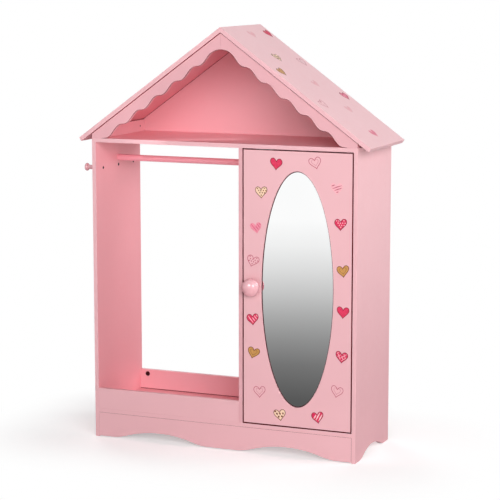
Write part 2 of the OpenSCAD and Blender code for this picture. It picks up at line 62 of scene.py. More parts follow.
class Shader:
    """A Principled material with a few helpers to wire nodes into it."""

    def __init__(self, name, **sockets):
        self.mat = bpy.data.materials.new(name)
        self.mat.use_nodes = True
        self.tree = self.mat.node_tree
        self.bsdf = self.tree.nodes["Principled BSDF"]
        self.coords = self.tree.nodes.new("ShaderNodeTexCoord").outputs["Object"]
        for key, value in sockets.items():
            self.bsdf.inputs[key.replace("_", " ")].default_value = value

    def link(self, a, b):
        self.tree.links.new(a, b)

    def noise(self, scale, detail=2.0, stretch=None, rough=0.5):
        node = self.tree.nodes.new("ShaderNodeTexNoise")
        node.inputs["Scale"].default_value = scale
        node.inputs["Detail"].default_value = detail
        node.inputs["Roughness"].default_value = rough
        source = self.coords
        if stretch:
            mapping = self.tree.nodes.new("ShaderNodeMapping")
            mapping.inputs["Scale"].default_value = stretch
            self.link(source, mapping.inputs["Vector"])
            source = mapping.outputs["Vector"]
        self.link(source, node.inputs["Vector"])
        return node.outputs["Fac"]

    def ramp(self, value, low, high, out_low, out_high):
        node = self.tree.nodes.new("ShaderNodeMapRange")
        self.link(value, node.inputs["Value"])
        for key, number in (
            ("From Min", low), ("From Max", high), ("To Min", out_low), ("To Max", out_high),
        ):
            node.inputs[key].default_value = number
        return node.outputs["Result"]

    def mix(self, factor, a, b):
        node = self.tree.nodes.new("ShaderNodeMix")
        node.data_type = "RGBA"
        self.link(factor, node.inputs["Factor"])
        sockets = [s for s in node.inputs if s.type == "RGBA"]
        for socket, value in zip(sockets, (a, b)):
            if isinstance(value, tuple):
                socket.default_value = value
            else:
                self.link(value, socket)
        return next(s for s in node.outputs if s.type == "RGBA")

    def colour(self, socket):
        self.link(socket, self.bsdf.inputs["Base Color"])

    def roughness(self, socket):
        self.link(socket, self.bsdf.inputs["Roughness"])

    def bump(self, height, strength, distance):
        node = self.tree.nodes.new("ShaderNodeBump")
        node.inputs["Strength"].default_value = strength
        node.inputs["Distance"].default_value = distance
        self.link(height, node.inputs["Height"])
        self.link(node.outputs["Normal"], self.bsdf.inputs["Normal"])


def lacquer(name, colour, rough, peel, shine=0.5):
    """Sprayed satin lacquer: slow colour drift, a fine speckle and orange peel."""
    s = Shader(name, Specular_IOR_Level=shine)
    drift = s.ramp(s.noise(3.5, 3), 0.3, 0.7, 0, 1)
    base = s.mix(drift, scaled(colour, 0.975), scaled(colour, 1.02))
    speckle = s.ramp(s.noise(1400, 1), 0.35, 0.75, 0, 0.10)
    s.colour(s.mix(speckle, base, scaled(colour, 0.82)))
    s.roughness(s.ramp(s.noise(60, 4), 0.3, 0.7, rough - 0.04, rough + 0.05))
    s.bump(s.noise(420, 2), peel, 0.0002)
    return s.mat


def steel(name, colour, rough):
    s = Shader(name, Metallic=1.0)
    tone = s.ramp(s.noise(500, 3), 0.3, 0.7, 0, 1)
    s.colour(s.mix(tone, scaled(colour, 0.85), scaled(colour, 1.1)))
    s.roughness(s.ramp(s.noise(900, 2), 0.3, 0.7, rough - 0.06, rough + 0.1))
    s.bump(s.noise(1500, 2), 0.15, 0.0001)
    return s.mat


def ink(name, colour, rough=0.42, metal=0.0):
    """Screen-printed ink: flat, a little uneven, and with fine pinholes."""
    s = Shader(name, Metallic=metal, Specular_IOR_Level=0.12)
    patches = s.ramp(s.noise(260, 3), 0.35, 0.65, 0, 1)
    base = s.mix(patches, scaled(colour, 0.92), scaled(colour, 1.06))
    holes = s.ramp(s.noise(2600, 1), 0.62, 0.72, 0, 0.35)
    s.colour(s.mix(holes, base, PINK))
    s.roughness(s.ramp(s.noise(500, 2), 0.3, 0.7, rough - 0.05, rough + 0.06))
    s.bump(s.noise(1200, 2), 0.08, 0.0001)
    return s.mat


PINK = srgb(236, 182, 188)
pink_board = lacquer("pink_board_lacquer", PINK, 0.36, 0.10)
# A paler copy of the pink for the roof's upper faces: a painted sheen
pink_roof_sheen = lacquer("pink_roof_painted_sheen", srgb(251, 198, 204), 0.32, 0.10)
# A darker copy of the pink for the gable boards and the divider's outside: painted shade
pink_gable_shaded = lacquer("pink_gable_painted_shade", srgb(228, 170, 177), 0.36, 0.10)
# Deeper copies of the pink for faces turned inwards and under the eaves: painted shade
pink_inside_shaded = lacquer("pink_inside_painted_shade", srgb(240, 167, 175), 0.42, 0.10)
pink_niche_shaded = lacquer("pink_niche_painted_shade", srgb(237, 170, 178), 0.42, 0.10)
pink_eaves_shaded = lacquer("pink_eaves_painted_shade", srgb(228, 148, 158), 0.42, 0.10)
# A lighter, redder copy of the pink for the attic shelf's faces: painted light
pink_attic_floor_lit = lacquer("pink_attic_floor_painted_light", srgb(250, 178, 186), 0.42, 0.10)
# A dark crimson for chamfers and gap faces: painted shade in the seams and gaps
edge_shade = lacquer("dark_edge_painted_shade", srgb(118, 3, 18), 0.5, 0.10, 0.03)
pink_turned = lacquer("pink_turned_lacquer", srgb(240, 178, 186), 0.09, 0.02, 1.0)
pink_rod = lacquer("pink_rod_lacquer", srgb(253, 171, 183), 0.22, 0.04)
# A darker pink for the knob's underside and rim: painted shade
knob_shade = lacquer("knob_underside_painted_shade", srgb(216, 140, 152), 0.3, 0.04)
zinc = steel("zinc_plated_steel", (0.56, 0.57, 0.59, 1), 0.34)
# Near-black steel with a red cast; its darkness also paints the shade of the holes that the
# screw heads, cam locks and bushes sit in
dark = steel("dark_steel_and_recess_shade", (0.060, 0.020, 0.024, 1), 0.42)

birch = Shader("bare_birch")
grain = birch.ramp(birch.noise(220, 4, (1, 1, 0.08)), 0.3, 0.7, 0, 1)
birch.colour(birch.mix(grain, (0.50, 0.34, 0.18, 1), (0.68, 0.50, 0.30, 1)))
birch.roughness(birch.ramp(birch.noise(300), 0.3, 0.7, 0.55, 0.7))
birch.bump(birch.noise(600, 3, (1, 1, 0.1)), 0.3, 0.0003)

fibre = Shader("raw_hardboard")
felt = fibre.ramp(fibre.noise(700, 5), 0.3, 0.7, 0, 1)
fibre.colour(fibre.mix(felt, (0.11, 0.055, 0.028, 1), (0.20, 0.11, 0.058, 1)))
fibre.roughness(fibre.ramp(fibre.noise(300), 0.3, 0.7, 0.7, 0.85))
fibre.bump(fibre.noise(900, 4), 0.4, 0.0003)

plastic = Shader("white_moulded_plastic")
haze = plastic.ramp(plastic.noise(40, 3), 0.3, 0.7, 0, 1)
plastic.colour(plastic.mix(haze, (0.76, 0.76, 0.74, 1), (0.82, 0.82, 0.80, 1)))
plastic.roughness(plastic.ramp(plastic.noise(1800, 2), 0.3, 0.7, 0.38, 0.5))
plastic.bump(plastic.noise(2200, 2), 0.12, 0.0001)

silver = Shader("silvered_mirror", Metallic=1.0)
clean = silver.ramp(silver.noise(6, 2), 0.3, 0.7, 0, 1)
silver.colour(silver.mix(clean, (0.955, 0.960, 0.960, 1), (0.970, 0.975, 0.975, 1)))
silver.roughness(silver.ramp(silver.noise(9, 3), 0.45, 0.8, 0.006, 0.02))


def wear(ob, mat):
    """Gives every face of ob one material."""
    if ob.material_slots:
        for s in ob.material_slots:
            s.material = mat
    else:
        ob.data.materials.append(mat)
    return ob


# Boards: each is its CAD node with its long edges eased ----------------------

EASE = 0.6 * MM                     # how far the edges are rounded
MIN_EASED = 3.2 * MM                # shorter edges stay as they are
WELD, TINY = 0.002 * MM, 0.001 * MM
SHARP = math.radians(35)            # an edge is sharp if its faces turn by more
FLAT = math.radians(0.3)            # and faces are one if they turn by less
SMOOTH = math.radians(33)           # normals run smoothly over smaller turns
FACING = 0.75                       # cosine up to which a face looks in a direction


def smooth_by_area(bm, mesh):
    """Corner normals that leave large faces flat and run smoothly round the small ones."""
    cos_limit = math.cos(SMOOTH)
    area = {f: f.calc_area() for f in bm.faces}
    normals = []
    for face in bm.faces:
        for loop in face.loops:
            total = Vector((0, 0, 0))
            for other in loop.vert.link_faces:
                if other.normal.dot(face.normal) > cos_limit:
                    total += other.normal * area[other]
            normals.append(total.normalized() if total.length > 0 else face.normal.copy())
    mesh.shade_smooth()
    mesh.normals_split_custom_set(normals)


INSIDE, EDGE, ROOF = 1, 2, 3        # material indices; 0 is the board's outside
# These boards wear the darker copy outside, as painted shade
OUTSIDE_SHADED_PINKS = {
    "left_gable_board": pink_gable_shaded, "right_gable_board": pink_gable_shaded,
    "divider_panel": pink_gable_shaded,
}
# Inside faces wear deeper copies of the pink as painted shade; the attic shelf's are lighter,
# painted light
INSIDE_LIGHT_AND_SHADE = {
    "left_side_panel": pink_inside_shaded, "divider_panel": pink_inside_shaded,
    "attic_shelf": pink_attic_floor_lit,
    "left_roof_panel": pink_eaves_shaded, "right_roof_panel": pink_eaves_shaded,
}


def chamfered(bm, width, is_line):
    """Chamfers the sharp edges that is_line picks by their two ends, with dark painted shade.
    """
    edges = [
        e for e in bm.edges
        if len(e.link_faces) == 2
        and e.calc_face_angle_signed(0) > SHARP
        and is_line(*(v.co for v in e.verts))
    ]
    bmesh.ops.bevel(
        bm, geom=edges, offset=width, offset_type="OFFSET", segments=1,
        profile=0.5, affect="EDGES", clamp_overlap=False, material=EDGE,
    )


def eased_board(node, body, inward, cuts=(), is_edge=None, lines=()):
    """Replaces a board's node by a finer copy with eased edges and its lacquers.

    inward lists the directions that the board's inside faces look in; those faces take a
    deeper copy of the pink as painted shade, on the attic shelf a lighter one as painted light.
    is_edge(normal, centre) picks the faces painted with the dark shade of the gaps, after the
    faces have been cut along the planes in cuts, each a (point, normal). lines
    are (width, is_line) pairs for chamfered().
    """
    bm = bmesh.new()
    bm.from_mesh(NODES[node].data)
    bmesh.ops.remove_doubles(bm, verts=bm.verts, dist=WELD)
    for point, normal in cuts:
        bmesh.ops.bisect_plane(
            bm, geom=bm.verts[:] + bm.edges[:] + bm.faces[:], dist=TINY,
            plane_co=point, plane_no=normal,
        )
    for face in bm.faces:
        marked = is_edge and is_edge(face.normal, face.calc_center_median())
        face.material_index = EDGE if marked else 0
    bmesh.ops.dissolve_limit(
        bm, angle_limit=FLAT, verts=bm.verts, edges=bm.edges,
        use_dissolve_boundaries=False, delimit={"MATERIAL"},
    )
    for line in lines:
        chamfered(bm, *line)
    long_edges = [
        e for e in bm.edges
        if len(e.link_faces) == 2
        and e.calc_length() > MIN_EASED
        and e.calc_face_angle_signed(0) > SHARP
        and all(f.material_index != EDGE for f in e.link_faces)
    ]
    bmesh.ops.bevel(
        bm, geom=long_edges, offset=EASE, offset_type="OFFSET", segments=3,
        profile=0.5, affect="EDGES", clamp_overlap=False, harden_normals=False,
    )
    bmesh.ops.dissolve_degenerate(bm, dist=TINY, edges=bm.edges)
    bm.normal_update()
    mesh = bpy.data.meshes.new(node + "_board")
    bm.to_mesh(mesh)
    smooth_by_area(bm, mesh)
    bm.free()
    ob = bpy.data.objects.new(node + "_board", mesh)
    bpy.context.scene.collection.objects.link(ob)
    outside = OUTSIDE_SHADED_PINKS.get(node, pink_board)
    for mat in (outside, INSIDE_LIGHT_AND_SHADE.get(node, pink_niche_shaded), edge_shade, pink_roof_sheen):
        mesh.materials.append(mat)
    for polygon in mesh.polygons:
        if polygon.material_index == EDGE:
            continue
        if any(polygon.normal.dot(Vector(d)) > FACING for d in inward):
            polygon.material_index = INSIDE
        elif "roof" in node and polygon.normal.z > FACING:
            # The roof panels' upper faces get the paler copy: a painted sheen
            polygon.material_index = ROOF
    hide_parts(node)
    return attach(ob, body)


LEFT, RIGHT, FRONT, BACK, DOWN, UP = (
    (-1, 0, 0), (1, 0, 0), (0, -1, 0), (0, 1, 0), (0, 0, -1), (0, 0, 1),
)
ALL_ROUND = (LEFT, RIGHT, FRONT, BACK, DOWN, UP)
door_low, door_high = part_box("door_panel")
opening_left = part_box("divider_panel")[1].x
behind_door = ((0, door_high.y, 0), (0, 1, 0))
beside_door = ((opening_left, 0, 0), (1, 0, 0))


def divider_reveal(normal, centre):
    """The strip of the divider beside the door, painted dark as the shade in the door's gap."""
    return normal.x > 0.9 and centre.y < door_high.y


def bottom_reveal(normal, centre):
    """The strip of the bottom panel below the door, painted dark as the shade in the door's
    gap.
    """
    return normal.z > 0.9 and centre.y < door_high.y and centre.x > opening_left


eased_board("divider_panel", "cabinet", [LEFT, RIGHT], [behind_door], divider_reveal)
eased_board("bottom_panel", "cabinet", [UP, DOWN], [behind_door, beside_door], bottom_reveal)
for name, inward in (
    ("left_side_panel", [RIGHT]), ("right_side_panel", [LEFT]),
    ("bay_front_rail", [BACK]), ("attic_shelf", [UP, DOWN]),
    ("closet_back_panel", [FRONT]), ("closet_shelf_lower", ALL_ROUND),
    ("closet_shelf_middle", ALL_ROUND), ("closet_shelf_upper", ALL_ROUND),
    ("left_roof_panel", [DOWN]), ("right_roof_panel", [DOWN]),
):
    eased_board(name, "cabinet", inward)


# The tests below pick edges by their two ends, for the dark chamfers of painted shade
NEAR = 0.1 * MM                     # how close an end has to be to a plane
LONG, SHORT = 200 * MM, 30 * MM     # a board's sides are long, its waves' steps short
front = door_low.y                  # the door and the gable boards share their front
rail_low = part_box("bay_back_rail")[0]
knee_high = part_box("left_knee_wall")[1]
apron_low, apron_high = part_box("base_apron")
attic_back_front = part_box("attic_back_panel")[0].y


def at_front(a, b, y):
    return max(a.y, b.y) < y + NEAR


def long_slope(a, b):
    return abs(a.x - b.x) > LONG and abs(a.z - b.z) > LONG / 2


def under_roof(a, b):
    """The gable boards' front edges that meet the roof."""
    return at_front(a, b, front) and long_slope(a, b)


def scallops(a, b):
    """The short front edges along the gable boards' wavy side."""
    return at_front(a, b, front) and (a - b).length < SHORT


def door_rim(a, b):
    """The four long edges round the door's face."""
    return at_front(a, b, front) and (a - b).length > LONG


def on_floor(a, b):
    """The back rail's front edge that stands on the bottom panel."""
    return at_front(a, b, rail_low.y) and max(a.z, b.z) < rail_low.z + NEAR


def knee_top(a, b):
    """The knee walls' upper edges on the side of the attic."""
    return min(a.z, b.z) > knee_high.z - NEAR and max(abs(a.x), abs(b.x)) < -knee_high.x + NEAR


def apron_seams(a, b):
    """The apron's front edges against the side panels and the bottom panel."""
    upright = abs(a.x - b.x) < NEAR and abs(a.z - b.z) > SHORT
    at_top = min(a.z, b.z) > apron_high.z - NEAR
    return not max(a.y, b.y) > apron_low.y + NEAR and (upright or at_top)


def against_roof(a, b):
    """The attic back panel's front edges under the roof panels."""
    return at_front(a, b, attic_back_front) and long_slope(a, b)


# The dark chamfers are painted shade: shadow lines in the seams and gaps between parts
# Each line's width suits how dark it shows in the photograph
eased_board("base_apron", "cabinet", [BACK], lines=[(0.45 * MM, apron_seams)])
eased_board("attic_back_panel", "cabinet", [FRONT], lines=[(1.1 * MM, against_roof)])
for name in ("left_knee_wall", "right_knee_wall"):
    eased_board(name, "cabinet", ALL_ROUND, lines=[(0.9 * MM, knee_top)])
for name in ("left_gable_board", "right_gable_board"):
    eased_board(name, "cabinet", [BACK], lines=[(2.0 * MM, under_roof), (1.1 * MM, scallops)])
eased_board("bay_back_rail", "cabinet", [FRONT], lines=[(2.2 * MM, on_floor)])


def door_edge(normal, centre):
    """The door's top edge and its edge at the pivots, painted dark as the shade in their gaps.
    """
    return abs(normal.y) < 0.3 and (
        centre.z > door_high.z - MM or centre.x > door_high.x - MM
    )


eased_board("door_panel", "door", [BACK], (), door_edge, [(0.6 * MM, door_rim)])


# Turned parts -----------------------------------------------------------------

ON_AXIS = 1e-7                      # a smaller radius is a point on the axis
RIDGED = math.radians(38)           # larger turns between faces stay sharp


def lathe(name, profile, place, segments=72):
    """Turns (radius, height) points about Z and puts the result at place."""
    verts, faces, rings = [], [], []
    for r, h in profile:
        if r < ON_AXIS:
            rings.append([len(verts)])
            verts.append((0, 0, h))
        else:
            start = len(verts)
            rings.append(list(range(start, start + segments)))
            for i in range(segments):
                a = 2 * math.pi * i / segments
                verts.append((r * math.cos(a), r * math.sin(a), h))
    for low, high in zip(rings, rings[1:]):
        for i in range(segments):
            j = (i + 1) % segments
            a, b = low[i % len(low)], low[j % len(low)]
            c, d = high[j % len(high)], high[i % len(high)]
            faces.append([v for k, v in enumerate((a, b, c, d)) if v not in (a, b, c, d)[:k]])
    mesh = bpy.data.meshes.new(name)
    mesh.from_pydata([place @ Vector(v) for v in verts], [], faces)
    mesh.validate()
    mesh.shade_smooth()
    mesh.set_sharp_from_angle(angle=RIDGED)
    ob = bpy.data.objects.new(name, mesh)
    bpy.context.scene.collection.objects.link(ob)
    return ob


def arc(centre, radius, start, end, steps):
    """Points on an arc in the (radius, height) plane, angles in degrees."""
    return [
        (
            centre[0] + radius * math.cos(math.radians(start + (end - start) * i / steps)),
            centre[1] + radius * math.sin(math.radians(start + (end - start) * i / steps)),
        )
        for i in range(steps + 1)
    ]


def bowl(radius, middle, depth, start, end, steps):
    """Points on an ellipse about (0, middle), angles in degrees."""
    return [(radius * math.cos(a), middle + depth * math.sin(a)) for a in (
        math.radians(start + (end - start) * i / steps) for i in range(steps + 1)
    )]


def turned(name, node, profile, place, body, mat=pink_turned):
    """Turns a profile in millimetres and replaces node by it."""
    ob = lathe(name, [(r * MM, h * MM) for r, h in profile], place)
    wear(ob, mat)
    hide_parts(node)
    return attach(ob, body)


# Knob: a mushroom with a flared neck, a shallow underside and a dome
low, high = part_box("door_knob")
knob_x, knob_z = (low.x + high.x) / 2, (low.z + high.z) / 2
door_front = high.y
# The knob's part nearest the door is painted darker, as shade
SHADED = 16.5 * MM                  # the shaded part's reach from the door's face

knob_profile = (
    [(0, 0), (13.6, 0)]
    + arc((14, 3.4), 3, 270, 180, 6)
    + [(11, 6.5), (11.1, 7.0), (11.5, 7.45), (12.2, 7.78)]
    + bowl(26, 14, 7, -60, 0, 10)
    + bowl(26, 14, 20, 3, 87, 28)
    + [(0, 34)]
)
knob = turned(
    "door_knob_turned", "door_knob", knob_profile,
    Matrix.Translation((knob_x, door_front, knob_z)) @ Matrix.Rotation(math.pi / 2, 4, "X"),
    "door",
)
# The underside and the lowest band of the dome get the darker pink: painted shade
knob.data.materials.append(knob_shade)
for polygon in knob.data.polygons:
    if polygon.center.y > door_front - SHADED:
        polygon.material_index = 1

# Pegs: a straight stem with a fillet under a round-rimmed head
peg_profile = (
    [(0, 0), (6.2, 0), (6.5, 0.3)]
    + arc((8.5, 34.73), 2, 180, 105, 5)
    + arc((6.75, 41.25), 4.75, -75, 90, 18)[1:]
    + [(0, 46)]
)
for place_name in ("front", "middle", "back"):
    low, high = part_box("coat_peg_" + place_name)
    turned(
        f"coat_peg_{place_name}_turned", "coat_peg_" + place_name, peg_profile,
        Matrix.Translation((high.x, (low.y + high.y) / 2, (low.z + high.z) / 2))
        @ Matrix.Rotation(-math.pi / 2, 4, "Y"),
        "cabinet",
    )

# Rod
low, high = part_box("hanging_rod")
rod_r, rod_l = (high.z - low.z) / 2 / MM, (high.x - low.x) / MM
turned(
    "hanging_rod_turned", "hanging_rod",
    [(0, 0), (rod_r - 0.6, 0), (rod_r, 0.6)]
    + [(rod_r, rod_l * i / 12) for i in range(1, 12)]
    + [(rod_r, rod_l - 0.6), (rod_r - 0.6, rod_l), (0, rod_l)],
    Matrix.Translation((low.x, 0, (low.z + high.z) / 2)) @ Matrix.Rotation(math.pi / 2, 4, "Y"),
    "cabinet", pink_rod,
)


# CAD nodes that stay as they are ------------------------------------------------

for name, mat, slot in (
    ("mirror_glass", silver.mat, "mirror"),
    ("mirror_backing", fibre.mat, "hardboard"),
    ("dowels", birch.mat, "birch"),
    ("catch_case", plastic.mat, "white_plastic"),
    ("roof_screws", dark, "dark_steel"),
    ("peg_screws", dark, "dark_steel"),
    ("cam_locks", dark, "dark_steel"),
    ("pivot_bushes", dark, "dark_steel"),
    ("shelf_pins", zinc, "zinc_steel"),
    ("cam_bolts", zinc, "zinc_steel"),
    ("pivot_pins", zinc, "zinc_steel"),
    ("catch_poles", zinc, "zinc_steel"),
    ("catch_screws", zinc, "zinc_steel"),
    ("mirror_clips", zinc, "zinc_steel"),
    ("mirror_clip_screws", zinc, "zinc_steel"),
    ("knob_screw", zinc, "zinc_steel"),
    ("catch_strike", zinc, "zinc_steel"),
    ("strike_screws", zinc, "zinc_steel"),
):
    wear(NODES[name], mat)


# Printed hearts -------------------------------------------------------------------

INKS = {
    "hot": ink("print_hot_pink", srgb(222, 54, 92)),
    "hot_line": ink("print_crimson_line", srgb(150, 14, 50)),
    "rose": ink("print_rose", srgb(226, 96, 130)),
    "blush": ink("print_blush", srgb(247, 176, 190)),
    "mid": ink("print_mid_pink", srgb(238, 146, 164)),
    "pale": ink("print_pale", srgb(246, 205, 210)),
    "faint": ink("print_faint", srgb(244, 180, 188)),
    "pale_line": ink("print_pale_line", srgb(196, 98, 116)),
    "gold": ink("print_gold", srgb(204, 150, 84), 0.36, 0.15),
    "gold_line": ink("print_gold_line", srgb(128, 74, 36), 0.4),
    "cream": ink("print_cream", srgb(247, 214, 184)),
    "brown": ink("print_brown", srgb(112, 56, 36)),
    # Not print: the dark ring of painted shade round the mirror's edge
    "rim": ink("mirror_rim_painted_shade", srgb(62, 6, 14), 0.3),
}


def heart_outline(rng, steps=72):
    """A hand-drawn heart about one unit wide, with its tip down."""
    # The common heart curve with rounder lobes, leaning and a little uneven
    lean = rng.uniform(-0.08, 0.08)
    wobble = [(rng.uniform(0.004, 0.012), rng.uniform(0, 6.28), n) for n in (2, 3, 5)]
    points = []
    for i in range(steps):
        t = 2 * math.pi * i / steps
        x = math.copysign(abs(math.sin(t)) ** 2.6, math.sin(t)) / 2
        y = 13 * math.cos(t) - 5 * math.cos(2 * t) - 2 * math.cos(3 * t) - math.cos(4 * t)
        y /= 31
        k = 1 + sum(a * math.sin(n * t + p) for a, p, n in wobble)
        points.append(Vector((k * (x + lean * y), k * y)))
    return points


def gap_to(p, points):
    """The distance from p to a closed outline."""
    best = math.inf
    for a, b in zip(points, points[1:] + points[:1]):
        side = b - a
        t = min(1, max(0, (p - a).dot(side) / max(side.dot(side), 1e-18)))
        best = min(best, (p - a - side * t).length)
    return best


def inset(points, depth):
    """The closed outline moved inwards by depth, with no crossed ends.

    Where two sides come closer than that, such as in a heart's tip, the points
    are spread between the last good ones.
    """
    out, n = [], len(points)
    for i in range(n):
        along = points[(i + 1) % n] - points[i - 1]
        normal = Vector((along.y, -along.x)).normalized()
        out.append(points[i] - normal * depth)
    good = [gap_to(p, points) > depth * 0.97 for p in out]
    for i in range(n):
        if not good[i]:
            before = next(k for k in range(1, n) if good[(i - k) % n])
            after = next(k for k in range(1, n) if good[(i + k) % n])
            start, end = out[(i - before) % n], out[(i + after) % n]
            out[i] = start + (end - start) * (before / (before + after))
    return out


def area(points):
    """The signed area of a closed outline."""
    return sum(
        a.x * b.y - b.x * a.y for a, b in zip(points, points[1:] + points[:1])
    ) / 2


def inside(p, points):
    """Whether p lies inside a closed outline."""
    hit = False
    for a, b in zip(points, points[1:] + points[:1]):
        if (a.y > p.y) != (b.y > p.y):
            if p.x < (b.x - a.x) * (p.y - a.y) / (b.y - a.y) + a.x:
                hit = not hit
    return hit


# How high fills, outlines and marks stand over the surface, and how deep they sit
FILL_H, LINE_H, MARK_H, SINK = 0.03 * MM, 0.07 * MM, 0.05 * MM, 0.04 * MM


class Print:
    """Collects flat printed shapes of one ink as thin closed prisms."""

    def __init__(self):
        self.verts, self.faces = {}, {}

    def prism(self, key, loops, place, high):
        """loops is one outline, or an outer and an inner one with as many points."""
        verts = self.verts.setdefault(key, [])
        faces = self.faces.setdefault(key, [])
        n = len(loops[0])
        # Rings of n points: outer low, outer high, inner low, inner high
        low, top, inner_low, inner_top = (len(verts) + k * n for k in range(4))
        for loop in loops:
            for z in (-SINK, high):
                verts.extend(place @ Vector((p.x, p.y, z)) for p in loop)
        if len(loops) == 1:
            faces.append([low + i for i in reversed(range(n))])
            faces.append([top + i for i in range(n)])
        for i in range(n):
            j = (i + 1) % n
            faces.append([low + i, low + j, top + j, top + i])
            if len(loops) == 2:
                faces.append([inner_low + j, inner_low + i, inner_top + i, inner_top + j])
                faces.append([top + i, top + j, inner_top + j, inner_top + i])
                faces.append([low + j, low + i, inner_low + i, inner_low + j])

    def build(self, prefix, body):
        for key in self.verts:
            mesh = bpy.data.meshes.new(f"{prefix}_{key}")
            mesh.from_pydata(self.verts[key], [], self.faces[key])
            mesh.validate()
            bm = bmesh.new()
            bm.from_mesh(mesh)
            bmesh.ops.recalc_face_normals(bm, faces=bm.faces)
            bm.to_mesh(mesh)
            bm.free()
            ob = bpy.data.objects.new(f"{prefix}_{key}", mesh)
            bpy.context.scene.collection.objects.link(ob)
            wear(ob, INKS[key])
            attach(ob, body)


HEART_LINE, ECHO_LINE = 1.9 * MM, 0.8 * MM      # widths of outlines
# pattern: (size, pitch, longest stretch)
DOTS = {"dots": (1.9 * MM, 7.2 * MM, 1), "spots": (2.5 * MM, 9.2 * MM, 1.5)}
# pattern: (directions in degrees, gap, half width)
STROKES = {
    "stripes": ((50,), 8.2 * MM, 1.9 * MM), "hatch": ((40, 118), 8.0 * MM, 1.2 * MM),
    "scribble": ((-58,), 7.0 * MM, 1.5 * MM), "bars": ((20,), 7.2 * MM, 1.5 * MM),
}


def jitter(rng):
    """Up to half a millimetre either way."""
    return rng.uniform(-0.5, 0.5) * MM


def spot(middle, long, short, turn, steps=10):
    """A small oval outline, turned by an angle."""
    points = []
    for i in range(steps):
        t = 2 * math.pi * i / steps
        points.append(middle + Vector((
            long * math.cos(t) * math.cos(turn) - short * math.sin(t) * math.sin(turn),
            long * math.cos(t) * math.sin(turn) + short * math.sin(t) * math.cos(turn),
        )))
    return points


def print_dots(sheet, key, core, place, width, pattern, rng):
    """Staggered rows of spots whose middles lie inside core."""
    size, pitch, stretch = DOTS[pattern]
    row, y = 0, -0.6 * width
    while y < 0.6 * width:
        x = -0.6 * width + (pitch / 2 if row % 2 else 0)
        while x < 0.6 * width:
            middle = Vector((x + jitter(rng), y + jitter(rng)))
            if inside(middle, core):
                turn = rng.uniform(0, 3.14)
                long = size * (rng.uniform(1.0, stretch) if stretch > 1 else 1)
                sheet.prism(key, [spot(middle, long, size, turn)], place, MARK_H)
            x += pitch
        y += pitch * 0.86
        row += 1


def print_strokes(sheet, key, core, place, width, pattern, rng):
    """Slightly bent strokes across core, cut off at its outline."""
    turns, gap, half = STROKES[pattern]
    for turn in turns:
        a = math.radians(turn)
        u, v = Vector((math.cos(a), math.sin(a))), Vector((-math.sin(a), math.cos(a)))
        offset = -0.7 * width
        while offset < 0.7 * width:
            cuts = []
            for p, q in zip(core, core[1:] + core[:1]):
                dp, dq = p.dot(v) - offset, q.dot(v) - offset
                if (dp > 0) != (dq > 0):
                    cuts.append((p + (q - p) * (dp / (dp - dq))).dot(u))
            cuts.sort()
            for s, e in zip(cuts[::2], cuts[1::2]):
                if e - s > 2.2 * half:
                    bend, mid = jitter(rng), (s + e) / 2
                    bar = [
                        u * s + v * (offset - half * 0.5),
                        u * mid + v * (offset + bend - half),
                        u * e + v * (offset - half * 0.5),
                        u * e + v * (offset + half * 0.5),
                        u * mid + v * (offset + bend + half),
                        u * s + v * (offset + half * 0.5),
                    ]
                    sheet.prism(key, [bar], place, MARK_H)
            offset += gap * rng.uniform(0.85, 1.15)


def print_heart(sheet, place, style, width, seed):
    """style names a row of HEART_STYLES; place maps the print's plane to the part."""
    rng = random.Random(seed)
    fill, line, mark, pattern = HEART_STYLES[style]
    shape = [p * width for p in heart_outline(rng)]
    if area(shape) < 0:
        shape.reverse()
    core = inset(shape, HEART_LINE * 1.7)
    if fill:
        sheet.prism(fill, [inset(shape, HEART_LINE * 0.4)], place, FILL_H)
    if line:
        sheet.prism(line, [shape, inset(shape, HEART_LINE)], place, LINE_H)
    if pattern == "echo":
        ring = [p * 0.56 + Vector((0, 0.02 * width)) for p in shape]
        sheet.prism(mark, [ring, inset(ring, ECHO_LINE)], place, MARK_H)
    if pattern in DOTS:
        print_dots(sheet, mark, core, place, width, pattern, rng)
    if pattern in STROKES:
        print_strokes(sheet, mark, core, place, width, pattern, rng)


# style: (fill, line, mark, pattern)
HEART_STYLES = {
    "hot": ("hot", "hot_line", None, None),
    "hot_dots": ("hot", "hot_line", "blush", "dots"),
    "hot_hatch": ("hot", "hot_line", "blush", "hatch"),
    "hot_scribble": ("hot", "hot_line", "blush", "scribble"),
    "hot_stripes": ("hot", "hot_line", "pale", "stripes"),
    "rose": ("mid", None, "rose", "scribble"),
    "rose_plain": ("rose", "hot_line", "blush", "scribble"),
    "gold": ("gold", "gold_line", "gold_line", "echo"),
    "gold_dots": ("cream", "gold_line", "gold_line", "dots"),
    "leopard": ("cream", "gold_line", "brown", "spots"),
    "pale": (None, "pale_line", "pale_line", "echo"),
    "pale_dots": (None, "pale_line", "pale_line", "dots"),
    "pale_bars": ("faint", None, "pale_line", "bars"),
    "pale_fill": ("pale", "pale_line", None, None),
    "faint": ("faint", "pale", "pale", "echo"),
}

DOOR_HEART, ROOF_HEART = 37 * MM, 38 * MM       # widths
DOOR_SEED, ROOF_SEED = 100, 300                 # of the first heart

